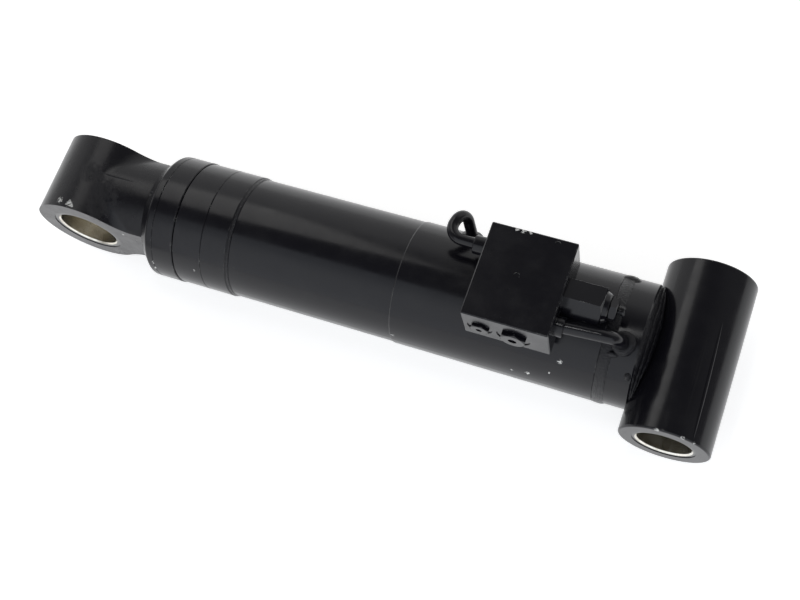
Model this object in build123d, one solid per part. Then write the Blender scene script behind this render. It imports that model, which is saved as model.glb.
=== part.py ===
from build123d import *
import math
import os

# Telescopic hydraulic cylinder with a valve block, drawn closed.
# Frame: origin at the centre of the base pin's bore, +X along the cylinder towards the rod eye,
# +Y along both pins, +Z up through the valve block. Millimetres.

# ---- driving dimensions -------------------------------------------------------------------

# overall and pins
PIN_TO_PIN = 487.0
BASE_PIN_R = 20.0
BASE_BUSH_R = 23.3
BASE_BUSH_LENGTH = 45.0
CROSS_TUBE_R = 33.5
CROSS_TUBE_LENGTH = 133.0
EYE_PIN_R = 24.0
EYE_BUSH_R = 28.5
EYE_R = 42.0
EYE_WIDTH = 65.0
BUSH_RECESS = 0.5
BUSH_LEAD = 1.2

# barrel: an outer tube and an inner tube with an oil passage between them
CAP_REAR_X = 32.0
CAP_FRONT_X = 50.5
CAP_SPIGOT_X = 62.0
CAP_DRILLING_Z = 15.0
BARREL_R = 47.5
BARREL_STEP_R = 48.1
BARREL_STEP_X = 214.0
BARREL_FRONT_X = 349.0
JACKET_BORE_R = 43.5
LINER_R = 42.0
BORE_R = 37.5
PASSAGE_HOLE_X = 328.5
PASSAGE_HOLE_R = 3.0
BARREL_EDGE = 1.0        # chamfer at each end of the barrel

# barrel head and its gland nut
HEAD_SPIGOT_X = 324.0
HEAD_RELIEF_X = 333.0
HEAD_RELIEF_R = 35.5
HEAD_THREAD_X = 362.0
HEAD_SPLIT_X = 372.0
HEAD_FRONT_X = 396.0
HEAD_R = 48.6
HEAD_THREAD_R = 40.0

# first stage: a tube with a piston at the back and a head at the front
STAGE_TUBE_R = 32.5
STAGE_TUBE_BORE_R = 27.5
STAGE_PISTON_REAR_X = 66.0
STAGE_TUBE_REAR_X = 84.0
STAGE_PISTON_FRONT_X = 100.0
STAGE_PASSAGE_X = 140.0
STAGE_PASSAGE_R = 2.5
STAGE_GUIDE_X = 366.0
STAGE_HEAD_R = 49.2
STAGE_TUBE_FRONT_X = 410.0
STAGE_SPLIT_X = 414.0
STAGE_FRONT_X = 428.2
STAGE_CHAMFER = 8.8
STAGE_RIM_R = 2.5
STAGE_PISTON_BORE_R = 12.0
PIN_WRENCH_HOLE_R = 2.4
PIN_WRENCH_CIRCLE_R = 43.2
PIN_WRENCH_DEPTH = 7.0
PIN_WRENCH_TURN = 3.0

# second stage: the rod, its piston and its eye
ROD_R = 22.5
ROD_REAR_X = 87.5
ROD_TENON_R = 15.0
ROD_NUT_REAR_X = 92.0
ROD_NUT_ACROSS_FLATS = 41.0
ROD_PISTON_REAR_X = 107.0
ROD_PISTON_FRONT_X = 133.0
ROD_SOCKET_R = 18.0
ROD_SOCKET_X = 452.0
NECK_REAR_X = 428.8
NECK_R = 39.2
NECK_BLEND_R = 14.0

# clearances
SLIDE_GAP = 0.4          # between the closed stages' end faces
PISTON_GAP = 0.3         # bare metal pistons in their bores
GUIDE_GAP = 0.4          # bare metal heads round the tube and the rod
SEAL_GAP = 0.05          # seals and wear rings on the surfaces that slide past them
GROOVE_GAP = 0.3         # rod piston rings in their grooves, where the piston turns in them
RING_END_GAP = 0.2       # the other rings and seals at each end of their grooves
EDGE_BREAK = 0.5         # the fine chamfer on each side of a joint line
RIM_CHAMFER = 0.6        # the chamfer on the rims of heads and pistons

# grooves for seals and rings: (rear x, front x, floor radius)
O_RING_SECTION_R = 1.3
CAP_O_RING_GROOVE = (54.0, 57.0, BORE_R - 2 * O_RING_SECTION_R)
GLAND_O_RING_GROOVE = (364.0, 367.0, HEAD_THREAD_R - 2 * O_RING_SECTION_R)
BARREL_WEAR_GROOVE = (338.0, 348.0, 35.0)
BARREL_SEAL_GROOVE = (373.0, 382.0, 38.0)
BARREL_WIPER_GROOVE = (387.0, 394.0, 37.5)
BARREL_WIPER_MOUTH_R = 34.5
STAGE_RING_GROOVE = (68.5, 74.5, 34.5)
STAGE_PISTON_SEAL_GROOVE = (77.0, 82.5, 33.5)
STAGE_WEAR_GROOVE = (372.0, 382.0, 25.5)
STAGE_SEAL_GROOVE = (411.5, 418.5, 28.5)
STAGE_WIPER_GROOVE = (421.2, 426.2, 27.0)
STAGE_WIPER_MOUTH_R = 24.5
ROD_RING_GROOVE = (110.0, 116.0, 24.5)
ROD_SEAL_GROOVE = (119.5, 126.5, 23.5)

# valve block
BLOCK_X = (89.4, 152.4)
BLOCK_Y = (-31.0, 40.5)
BLOCK_Z = (47.0, 83.0)
BLOCK_EDGE = 0.7
DRILLING_R = 3.0
SPOT_FACE_DEPTH = 0.7
PORT_O_RING_R = 0.95
PORT_NECK = 0.8          # how far the plug's neck is below its thread, under the head
MAIN_PORT = {
    "x": 115.2, "z": 61.8, "spot_r": 12.5, "thread_r": 7.1, "thread_length": 11.0,
    "across_flats": 17.5, "proud": 3.0, "turn": 9.0, "recess_r": 3.2, "recess_depth": 5.0,
}
PILOT_PORT = {
    "x": 139.8, "z": 62.6, "spot_r": 9.3, "thread_r": 4.8, "thread_length": 9.5,
    "across_flats": 12.7, "proud": 2.2, "turn": 18.0, "recess_r": 2.2, "recess_depth": 4.0,
}
PLUG_R = 2.1
PLUG_LENGTH = 3.0
PLUG_SINK = 0.2
PLUG_XY = [(144.3, -8.4), (103.4, -26.7), (123.6, 3.6)]

# cartridge valve in the block's rear face
CARTRIDGE_YZ = (2.0, 64.5)
CARTRIDGE_R = 10.5
CARTRIDGE_NOSE_X = 128.0
CARTRIDGE_ACROSS_FLATS = 26.5
CARTRIDGE_HEX_REAR_X = 61.6
CARTRIDGE_SHOULDER_X = 58.0
CARTRIDGE_TURN = 22.0
CARTRIDGE_CORNER_R = 15.4
CARTRIDGE_REAR_R = 12.8
CARTRIDGE_SHOULDER_R = 10.2
CARTRIDGE_O_RING_X = (101.3, 121.3)
CARTRIDGE_O_RING_R = 1.0
CARTRIDGE_GROOVE_WIDTH = 2.6
LOCK_NUT_REAR_X = 52.5
LOCK_NUT_ACROSS_FLATS = 15.0
LOCK_NUT_TURN = 10.0
ADJUSTER_R = 3.92
ADJUSTER_THREAD_R = 4.0
ADJUSTER_REAR_X = 47.5
ADJUSTER_FLANGE_X = 69.5
ADJUSTER_FRONT_X = 75.5
ADJUSTER_BORE_R = 5.6
ADJUSTER_BORE_X = (66.0, 86.0)
ADJUSTER_FLANGE_R = 5.2
ADJUSTER_SOCKET_ACROSS_FLATS = 4.0
ADJUSTER_SOCKET_DEPTH = 4.0
ADJUSTER_O_RING_R = 0.9
ADJUSTER_GROOVE_R = 3.4
ADJUSTER_GROOVE_WALL = 1.8

# steel pipes, each a list of corners with a bend radius for each inner corner
BASE_PIPE_R = 4.75
BASE_PIPE_POINTS = [(89.4, 25.0, 66.0), (49.0, 22.5, 66.0), (43.2, 16.7, 44.0)]
BASE_PIPE_BENDS = [12.0]
BASE_PIPE_BOSS_XY = (43.2, 16.7)
BASE_PIPE_BOSS_R = 8.0
BASE_PIPE_BOSS_Z = 50.0
BASE_COLLAR_R = 7.5
BASE_COLLAR_LENGTH = 6.4
ROD_PIPE_R = 4.25
ROD_PIPE_POINTS = [(152.4, -21.5, 56.0), (187.5, -22.0, 57.0), (181.5, -47.5, 56.0), (173.4, -35.0, 32.0)]
ROD_PIPE_BENDS = [9.6, 9.0]
ROD_PIPE_BOSS_R = 7.0
ROD_PIPE_BOSS_TOP_R = 51.0
ROD_COLLAR_R = 7.0
ROD_COLLAR_LENGTH = 13.0
PIPE_WALL = 1.5

# welds
BASE_WELD_X = (49.8, 58.8)
BASE_WELD_PROUD = 0.9
BASE_WELD_ROOT_R = 44.6
SADDLE_WELD_X = 22.0
BLOCK_WELD_Y = 21.0

# ---- derived values -----------------------------------------------------------------------

CROSS_TUBE_END = CROSS_TUBE_LENGTH / 2
EYE_FACE = EYE_WIDTH / 2
BLOCK_MID_X = sum(BLOCK_X) / 2
CARTRIDGE_Y, CARTRIDGE_Z = CARTRIDGE_YZ
PORT_FACE_Y = BLOCK_Y[1]
SPOT_FACE_Y = PORT_FACE_Y - SPOT_FACE_DEPTH
STAGE_HEAD_REAR_X = HEAD_FRONT_X + SLIDE_GAP
GLAND_BORE_R = STAGE_TUBE_R + GUIDE_GAP
GLAND_SEAL_R = STAGE_TUBE_R + SEAL_GAP
ROD_GUIDE_R = ROD_R + GUIDE_GAP
ROD_SEAL_R = ROD_R + SEAL_GAP
STAGE_PISTON_R = BORE_R - PISTON_GAP
STAGE_RING_R = BORE_R - SEAL_GAP
ROD_PISTON_R = STAGE_TUBE_BORE_R - PISTON_GAP
ROD_RING_R = STAGE_TUBE_BORE_R - SEAL_GAP


# ---- building helpers ---------------------------------------------------------------------

def turned(points):
    """A solid turned about the X axis from (x, radius) points in order."""
    return revolve(make_face(Polyline(*points, close=True)), Axis.X)


def ring(x0, x1, outer, inner):
    return turned([(x0, inner), (x0, outer), (x1, outer), (x1, inner)])


def groove(place, land_r):
    """The ring of metal to cut away from a land for a groove given as (rear x, front x, floor radius)."""
    rear_x, front_x, floor_r = place
    return ring(rear_x, front_x, land_r, floor_r)


def ring_in(place, land_r, end_gap=RING_END_GAP, floor_gap=0.0):
    """A plain ring that sits in a groove and reaches land_r."""
    rear_x, front_x, floor_r = place
    floor_r += math.copysign(floor_gap, land_r - floor_r)
    return ring(rear_x + end_gap, front_x - end_gap, land_r, floor_r)


def o_ring(x, centre_r, section_r):
    return revolve(Pos(x, centre_r) * Circle(section_r), Axis.X)


def o_ring_in(place):
    """An O-ring that touches its groove's floor."""
    rear_x, front_x, floor_r = place
    return o_ring((rear_x + front_x) / 2, floor_r + O_RING_SECTION_R, O_RING_SECTION_R)


def rod_x(radius, x0, x1, y=0.0, z=0.0):
    return Pos((x0 + x1) / 2, y, z) * Rot(0, 90, 0) * Cylinder(radius, x1 - x0)


def rod_y(radius, y0, y1, x, z):
    return Pos(x, (y0 + y1) / 2, z) * Rot(90, 0, 0) * Cylinder(radius, y1 - y0)


def rod_z(radius, z0, z1, x, y):
    return Pos(x, y, (z0 + z1) / 2) * Cylinder(radius, z1 - z0)


def cone_y(y0, r0, y1, r1, x, z):
    """A cone along Y from radius r0 at y0 to radius r1 at y1."""
    outline = Polyline((0, y0), (r0, y0), (r1, y1), (0, y1), close=True)
    return Pos(x, 0, z) * revolve(make_face(outline), Axis.Y)


def block(x, y, z):
    """A box from three (low, high) pairs."""
    centre = [(low + high) / 2 for low, high in (x, y, z)]
    size = [high - low for low, high in (x, y, z)]
    return Pos(*centre) * Box(*size)


def hex_x(across_flats, x0, x1, y=0.0, z=0.0, turn=0.0):
    """A hexagonal prism along X whose corner points to +Z, turned towards +Y."""
    corner_r = across_flats / math.sqrt(3)
    outline = Plane.YZ * Rot(0, 0, 90 - turn) * RegularPolygon(corner_r, 6)
    return Pos(x0, y, z) * extrude(outline, x1 - x0)


def hex_y(across_flats, y0, y1, x, z, turn):
    """A hexagonal prism along Y whose corner points to +Z, turned towards -X."""
    corner_r = across_flats / math.sqrt(3)
    outline = Plane.XZ * Rot(0, 0, 90 + turn) * RegularPolygon(corner_r, 6)
    return Pos(x, y1, z) * extrude(outline, y1 - y0)


def pipe(points, bends, outer, wall):
    """A bent steel tube along straight runs joined by tangent arcs."""
    path = FilletPolyline(*points, radius=bends)
    section = Circle(outer) - Circle(outer - wall)
    return sweep(Plane(origin=path @ 0, z_dir=path % 0) * section, path=path)


def pipe_core(points, bends, outer):
    """The space that a pipe fills, to cut its seat from what it passes through."""
    path = FilletPolyline(*points, radius=bends)
    return sweep(Plane(origin=path @ 0, z_dir=path % 0) * Circle(outer), path=path)


# ---- base end -----------------------------------------------------------------------------

def cross_tube():
    outside = rod_y(CROSS_TUBE_R, -CROSS_TUBE_END, CROSS_TUBE_END, 0, 0)
    outside = fillet(outside.edges().filter_by(GeomType.CIRCLE), 1.5)
    return outside - rod_y(BASE_BUSH_R, -CROSS_TUBE_END, CROSS_TUBE_END, 0, 0)


def bush(outer, inner, y0, y1, x):
    """A plain bush along Y with a lead-in chamfer at each end of its bore."""
    body = rod_y(outer, y0, y1, x, 0) - rod_y(inner, y0, y1, x, 0)
    body -= cone_y(y0, inner + BUSH_LEAD, y0 + BUSH_LEAD, inner, x, 0)
    body -= cone_y(y1 - BUSH_LEAD, inner, y1, inner + BUSH_LEAD, x, 0)
    return body


def base_bush(side):
    near = CROSS_TUBE_END - BUSH_RECESS
    ends = sorted([side * near, side * (near - BASE_BUSH_LENGTH)])
    return bush(BASE_BUSH_R, BASE_PIN_R, ends[0], ends[1], 0)


def base_weld_groove():
    x0, x1 = BASE_WELD_X
    middle = (x0 + x1) / 2
    crown = BARREL_STEP_R + BASE_WELD_PROUD
    return turned([
        (x0, BARREL_R - 0.4), (x0 + 0.8, crown - 0.5), (middle, crown), (x1 - 0.8, crown - 0.4),
        (x1, BARREL_STEP_R - 0.2), (middle + 1.0, BASE_WELD_ROOT_R), (middle - 1.0, BASE_WELD_ROOT_R),
    ])


def base_cap():
    body = turned([
        (CAP_REAR_X, 0), (CAP_REAR_X, BARREL_R - BARREL_EDGE), (CAP_REAR_X + BARREL_EDGE, BARREL_R),
        (CAP_FRONT_X, BARREL_R), (CAP_FRONT_X, BORE_R), (CAP_SPIGOT_X - 1.5, BORE_R),
        (CAP_SPIGOT_X, BORE_R - 1.5), (CAP_SPIGOT_X, 0),
    ])
    body -= groove(CAP_O_RING_GROOVE, BORE_R)
    body -= rod_y(CROSS_TUBE_R, -BARREL_R, BARREL_R, 0, 0)
    body -= base_weld_groove()
    port_x, port_y = BASE_PIPE_BOSS_XY
    body -= rod_z(DRILLING_R, CAP_DRILLING_Z - 6, BARREL_R, port_x, port_y)
    return body - rod_x(DRILLING_R - 0.5, port_x, CAP_SPIGOT_X, port_y, CAP_DRILLING_Z)


def cap_o_ring():
    return o_ring_in(CAP_O_RING_GROOVE)


def saddle_weld():
    wedge = turned([
        (SADDLE_WELD_X, 0), (SADDLE_WELD_X, 26.6), (SADDLE_WELD_X + 4.5, 33.0),
        (CAP_REAR_X, BARREL_R - 2.0), (CAP_REAR_X, 0),
    ])
    return wedge - rod_y(CROSS_TUBE_R, -BARREL_R, BARREL_R, 0, 0)


# ---- barrel -------------------------------------------------------------------------------

def rod_pipe_end():
    """The unit vector along the last run of the rod side pipe."""
    start = Vector(*ROD_PIPE_POINTS[-2])
    return (Vector(*ROD_PIPE_POINTS[-1]) - start).normalized()


def outer_barrel():
    body = turned([
        (CAP_FRONT_X, JACKET_BORE_R), (CAP_FRONT_X, BARREL_STEP_R), (BARREL_STEP_X, BARREL_STEP_R),
        (BARREL_STEP_X + 0.8, BARREL_R), (BARREL_FRONT_X - 1.4, BARREL_R),
        (BARREL_FRONT_X, BARREL_R - BARREL_EDGE), (BARREL_FRONT_X, JACKET_BORE_R),
    ])
    body -= base_weld_groove()
    foot = Vector(*ROD_PIPE_POINTS[-1])
    drill = Plane(origin=foot - rod_pipe_end() * 4, z_dir=rod_pipe_end())
    return body - extrude(drill * Circle(ROD_PIPE_R - PIPE_WALL), 10)


def inner_barrel():
    body = ring(CAP_FRONT_X, BARREL_FRONT_X, LINER_R, BORE_R)
    body -= rod_y(PASSAGE_HOLE_R, -LINER_R, LINER_R, PASSAGE_HOLE_X, 0)
    return body - rod_z(PASSAGE_HOLE_R, -LINER_R, LINER_R, PASSAGE_HOLE_X, 0)


def barrel_head():
    body = turned([
        (HEAD_SPIGOT_X, GLAND_BORE_R), (HEAD_SPIGOT_X, HEAD_RELIEF_R), (HEAD_RELIEF_X, HEAD_RELIEF_R),
        (HEAD_RELIEF_X, BORE_R), (BARREL_FRONT_X, BORE_R), (BARREL_FRONT_X, BARREL_R - BARREL_EDGE),
        (BARREL_FRONT_X + 2.2, HEAD_R), (HEAD_SPLIT_X - EDGE_BREAK, HEAD_R),
        (HEAD_SPLIT_X, HEAD_R - EDGE_BREAK),
        (HEAD_SPLIT_X, HEAD_THREAD_R), (HEAD_THREAD_X, HEAD_THREAD_R), (HEAD_THREAD_X, GLAND_BORE_R),
    ])
    return body - groove(BARREL_WEAR_GROOVE, GLAND_BORE_R)


def barrel_wear_ring():
    return ring_in(BARREL_WEAR_GROOVE, GLAND_SEAL_R)


def barrel_gland_nut():
    body = turned([
        (HEAD_THREAD_X, GLAND_BORE_R), (HEAD_THREAD_X, HEAD_THREAD_R), (HEAD_SPLIT_X, HEAD_THREAD_R),
        (HEAD_SPLIT_X, HEAD_R - EDGE_BREAK), (HEAD_SPLIT_X + EDGE_BREAK, HEAD_R),
        (HEAD_FRONT_X - RIM_CHAMFER, HEAD_R), (HEAD_FRONT_X, HEAD_R - RIM_CHAMFER),
        (HEAD_FRONT_X, GLAND_BORE_R),
    ])
    body -= groove(GLAND_O_RING_GROOVE, HEAD_THREAD_R)
    body -= groove(BARREL_SEAL_GROOVE, GLAND_BORE_R)
    body -= groove(BARREL_WIPER_GROOVE, GLAND_BORE_R)
    return body - ring(BARREL_WIPER_GROOVE[1], HEAD_FRONT_X, BARREL_WIPER_MOUTH_R, GLAND_BORE_R)


def gland_o_ring():
    return o_ring_in(GLAND_O_RING_GROOVE)


def lip_seal(place, inner):
    """A U-shaped lip seal in a groove, open towards the oil behind it."""
    rear_x, front_x, outer = place
    x0 = rear_x + RING_END_GAP
    x1 = front_x - RING_END_GAP
    middle = (outer + inner) / 2
    return turned([
        (x0, inner), (x0, middle - 0.8), (x0 + 2.4, middle), (x0, middle + 0.8), (x0, outer),
        (x1, outer), (x1, inner),
    ])


def wiper(place, gland_front_x, inner):
    """A wiper in a groove, whose lip points out of the gland."""
    rear_x, groove_front_x, outer = place
    x0 = rear_x + RING_END_GAP
    x1 = groove_front_x - RING_END_GAP
    front_x = gland_front_x - EDGE_BREAK
    return turned([
        (x0, inner + 0.6), (x0, outer), (x1, outer), (x1, inner + 1.6), (front_x, inner + 0.7),
        (front_x, inner), (x0 + 2.6, inner),
    ])


def barrel_seal():
    return lip_seal(BARREL_SEAL_GROOVE, GLAND_SEAL_R)


def barrel_wiper():
    return wiper(BARREL_WIPER_GROOVE, HEAD_FRONT_X, GLAND_SEAL_R)


# ---- first stage --------------------------------------------------------------------------

def stage_tube():
    body = ring(STAGE_TUBE_REAR_X, STAGE_TUBE_FRONT_X, STAGE_TUBE_R, STAGE_TUBE_BORE_R)
    body -= rod_y(STAGE_PASSAGE_R, -STAGE_TUBE_R, STAGE_TUBE_R, STAGE_PASSAGE_X, 0)
    return body - rod_z(STAGE_PASSAGE_R, -STAGE_TUBE_R, STAGE_TUBE_R, STAGE_PASSAGE_X, 0)


def stage_piston():
    body = turned([
        (STAGE_PISTON_REAR_X, STAGE_PISTON_BORE_R),
        (STAGE_PISTON_REAR_X, STAGE_PISTON_R - RIM_CHAMFER),
        (STAGE_PISTON_REAR_X + RIM_CHAMFER, STAGE_PISTON_R),
        (STAGE_PISTON_FRONT_X - RIM_CHAMFER, STAGE_PISTON_R),
        (STAGE_PISTON_FRONT_X, STAGE_PISTON_R - RIM_CHAMFER), (STAGE_PISTON_FRONT_X, STAGE_TUBE_R),
        (STAGE_TUBE_REAR_X, STAGE_TUBE_R), (STAGE_TUBE_REAR_X, STAGE_PISTON_BORE_R),
    ])
    body -= groove(STAGE_RING_GROOVE, BORE_R)
    return body - groove(STAGE_PISTON_SEAL_GROOVE, BORE_R)


def stage_piston_ring():
    return ring_in(STAGE_RING_GROOVE, STAGE_RING_R)


def stage_piston_seal():
    return ring_in(STAGE_PISTON_SEAL_GROOVE, STAGE_RING_R)


def stage_head():
    return turned([
        (STAGE_HEAD_REAR_X, STAGE_TUBE_R), (STAGE_HEAD_REAR_X, STAGE_HEAD_R - RIM_CHAMFER),
        (STAGE_HEAD_REAR_X + RIM_CHAMFER, STAGE_HEAD_R), (STAGE_SPLIT_X - EDGE_BREAK, STAGE_HEAD_R),
        (STAGE_SPLIT_X, STAGE_HEAD_R - EDGE_BREAK), (STAGE_SPLIT_X, HEAD_THREAD_R),
        (STAGE_TUBE_FRONT_X, HEAD_THREAD_R), (STAGE_TUBE_FRONT_X, STAGE_TUBE_R),
    ])


def stage_gland_nut():
    chamfer_x = STAGE_FRONT_X - STAGE_CHAMFER
    chamfer_r = STAGE_HEAD_R - STAGE_CHAMFER
    body = turned([
        (STAGE_GUIDE_X, ROD_GUIDE_R), (STAGE_GUIDE_X, STAGE_TUBE_BORE_R),
        (STAGE_TUBE_FRONT_X, STAGE_TUBE_BORE_R), (STAGE_TUBE_FRONT_X, HEAD_THREAD_R),
        (STAGE_SPLIT_X, HEAD_THREAD_R), (STAGE_SPLIT_X, STAGE_HEAD_R - EDGE_BREAK),
        (STAGE_SPLIT_X + EDGE_BREAK, STAGE_HEAD_R), (chamfer_x, STAGE_HEAD_R),
        (STAGE_FRONT_X, chamfer_r), (STAGE_FRONT_X, ROD_GUIDE_R),
    ])
    rims = body.edges().filter_by(GeomType.CIRCLE).filter_by(
        lambda edge: edge.radius > chamfer_r - 0.1 and edge.center().X > STAGE_SPLIT_X + 1)
    body = fillet(rims, STAGE_RIM_R)
    for place in (STAGE_WEAR_GROOVE, STAGE_SEAL_GROOVE, STAGE_WIPER_GROOVE):
        body -= groove(place, ROD_GUIDE_R)
    body -= ring(STAGE_WIPER_GROOVE[1], STAGE_FRONT_X, STAGE_WIPER_MOUTH_R, ROD_GUIDE_R)
    for turn in range(4):
        angle = math.radians(90 * turn + PIN_WRENCH_TURN)
        y = PIN_WRENCH_CIRCLE_R * math.sin(angle)
        z = PIN_WRENCH_CIRCLE_R * math.cos(angle)
        body -= rod_x(PIN_WRENCH_HOLE_R, STAGE_FRONT_X - PIN_WRENCH_DEPTH, STAGE_FRONT_X, y, z)
    return body


def stage_wear_ring():
    return ring_in(STAGE_WEAR_GROOVE, ROD_SEAL_R)


def stage_seal():
    return lip_seal(STAGE_SEAL_GROOVE, ROD_SEAL_R)


def stage_wiper():
    return wiper(STAGE_WIPER_GROOVE, STAGE_FRONT_X, ROD_SEAL_R)


# ---- second stage -------------------------------------------------------------------------

def piston_rod():
    return turned([
        (ROD_REAR_X, 0), (ROD_REAR_X, ROD_TENON_R - RIM_CHAMFER),
        (ROD_REAR_X + RIM_CHAMFER, ROD_TENON_R),
        (ROD_PISTON_FRONT_X, ROD_TENON_R), (ROD_PISTON_FRONT_X, ROD_R), (NECK_REAR_X, ROD_R),
        (NECK_REAR_X, ROD_SOCKET_R), (ROD_SOCKET_X, ROD_SOCKET_R), (ROD_SOCKET_X, 0),
    ])


def rod_piston():
    body = turned([
        (ROD_PISTON_REAR_X, ROD_TENON_R), (ROD_PISTON_REAR_X, ROD_PISTON_R - RIM_CHAMFER),
        (ROD_PISTON_REAR_X + RIM_CHAMFER, ROD_PISTON_R),
        (ROD_PISTON_FRONT_X - RIM_CHAMFER, ROD_PISTON_R),
        (ROD_PISTON_FRONT_X, ROD_PISTON_R - RIM_CHAMFER), (ROD_PISTON_FRONT_X, ROD_TENON_R),
    ])
    body -= groove(ROD_RING_GROOVE, STAGE_TUBE_BORE_R)
    return body - groove(ROD_SEAL_GROOVE, STAGE_TUBE_BORE_R)


def rod_piston_ring():
    return ring_in(ROD_RING_GROOVE, ROD_RING_R, GROOVE_GAP, GROOVE_GAP)


def rod_piston_seal():
    return ring_in(ROD_SEAL_GROOVE, ROD_RING_R, GROOVE_GAP, GROOVE_GAP)


def rod_piston_nut():
    body = hex_x(ROD_NUT_ACROSS_FLATS, ROD_NUT_REAR_X, ROD_PISTON_REAR_X)
    return body - rod_x(ROD_TENON_R, ROD_NUT_REAR_X, ROD_PISTON_REAR_X)


def rod_eye():
    eye = rod_y(EYE_R, -EYE_FACE, EYE_FACE, PIN_TO_PIN, 0)
    neck = rod_x(NECK_R, NECK_REAR_X, PIN_TO_PIN)
    neck &= block((NECK_REAR_X, PIN_TO_PIN), (-EYE_FACE, EYE_FACE), (-NECK_R, NECK_R))
    body = eye + neck
    seam = body.edges().filter_by(
        lambda edge: edge.geom_type not in (GeomType.CIRCLE, GeomType.LINE))
    body = fillet(seam, NECK_BLEND_R)
    body -= rod_y(EYE_BUSH_R, -EYE_FACE, EYE_FACE, PIN_TO_PIN, 0)
    return body - rod_x(ROD_SOCKET_R, NECK_REAR_X, ROD_SOCKET_X)


def rod_eye_bush():
    end = EYE_FACE - BUSH_RECESS
    return bush(EYE_BUSH_R, EYE_PIN_R, -end, end, PIN_TO_PIN)


# ---- valve block and cartridge ------------------------------------------------------------

def port_cavity(port):
    """What a plugged port cuts from the block: its spot face, O-ring seat and thread."""
    x, z = port["x"], port["z"]
    seat_y = SPOT_FACE_Y - 2 * PORT_O_RING_R
    cavity = rod_y(port["spot_r"], SPOT_FACE_Y, PORT_FACE_Y, x, z)
    seat_r = port["thread_r"] - PORT_NECK + 2 * PORT_O_RING_R
    cavity += rod_y(seat_r, seat_y, SPOT_FACE_Y, x, z)
    return cavity + rod_y(port["thread_r"], SPOT_FACE_Y - port["thread_length"], SPOT_FACE_Y, x, z)


def valve_block():
    body = block(BLOCK_X, BLOCK_Y, BLOCK_Z)
    body = chamfer(body.edges(), BLOCK_EDGE)
    body -= rod_x(BARREL_STEP_R, BLOCK_X[0], BLOCK_X[1])
    body -= rod_x(CARTRIDGE_R, BLOCK_X[0], CARTRIDGE_NOSE_X + 2, CARTRIDGE_Y, CARTRIDGE_Z)
    body -= port_cavity(MAIN_PORT)
    body -= port_cavity(PILOT_PORT)
    body -= rod_y(DRILLING_R, CARTRIDGE_Y, SPOT_FACE_Y, MAIN_PORT["x"], MAIN_PORT["z"])
    body -= rod_y(DRILLING_R, ROD_PIPE_POINTS[0][1], SPOT_FACE_Y, PILOT_PORT["x"], PILOT_PORT["z"])
    body -= rod_x(DRILLING_R, PILOT_PORT["x"], BLOCK_X[1], *ROD_PIPE_POINTS[0][1:])
    body -= rod_x(DRILLING_R, BLOCK_X[0], MAIN_PORT["x"], *BASE_PIPE_POINTS[0][1:])
    for x, y in PLUG_XY:
        body -= rod_z(PLUG_R, BLOCK_Z[1] - PLUG_LENGTH, BLOCK_Z[1], x, y)
    return body


def drilling_plugs():
    top = BLOCK_Z[1] - PLUG_SINK
    return Compound([rod_z(PLUG_R, BLOCK_Z[1] - PLUG_LENGTH, top, x, y) for x, y in PLUG_XY])


def block_welds():
    """The two fillet welds along the barrel, one under each side of the block."""
    x = (BLOCK_X[0] + 5, BLOCK_X[1] - 5)
    z = (BLOCK_Z[0] - 9, BLOCK_Z[0])
    welds = []
    for side in (-1, 1):
        y = sorted([side * 8.0, side * BLOCK_WELD_Y])
        wedge = block(x, y, z)
        run_off = Pos(BLOCK_MID_X, side * BLOCK_WELD_Y, z[0]) * Rot(side * 35, 0, 0)
        wedge -= run_off * Box(80, 9, 9)
        welds += (wedge - rod_x(BARREL_STEP_R, x[0], x[1])).solids()
    return Compound(welds)


def port_plug(port):
    """A screw plug with a hexagonal head, a chamfer round its face and a drilled centre."""
    x, z = port["x"], port["z"]
    face_y = PORT_FACE_Y + port["proud"]
    face_r = 0.48 * port["across_flats"]
    corner_r = port["across_flats"] / math.sqrt(3)
    chamfer_y = face_y - (corner_r - face_r) * math.tan(math.radians(30))
    outline = Polyline(
        (0, SPOT_FACE_Y), (corner_r, SPOT_FACE_Y), (corner_r, chamfer_y), (face_r, face_y),
        (0, face_y), close=True)
    head = hex_y(port["across_flats"], SPOT_FACE_Y, face_y, x, z, port["turn"])
    head &= Pos(x, 0, z) * revolve(make_face(outline), Axis.Y)
    seat_y = SPOT_FACE_Y - 2 * PORT_O_RING_R
    body = head + rod_y(port["thread_r"] - PORT_NECK, seat_y, SPOT_FACE_Y, x, z)
    body += rod_y(port["thread_r"], SPOT_FACE_Y - port["thread_length"], seat_y, x, z)
    return body - rod_y(port["recess_r"], face_y - port["recess_depth"], face_y, x, z)


def port_o_rings():
    rings = []
    for port in (MAIN_PORT, PILOT_PORT):
        centre_r = port["thread_r"] - PORT_NECK + PORT_O_RING_R
        section = Pos(centre_r, SPOT_FACE_Y - PORT_O_RING_R) * Circle(PORT_O_RING_R)
        rings.append(Pos(port["x"], 0, port["z"]) * revolve(section, Axis.Y))
    return Compound(rings)


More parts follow.
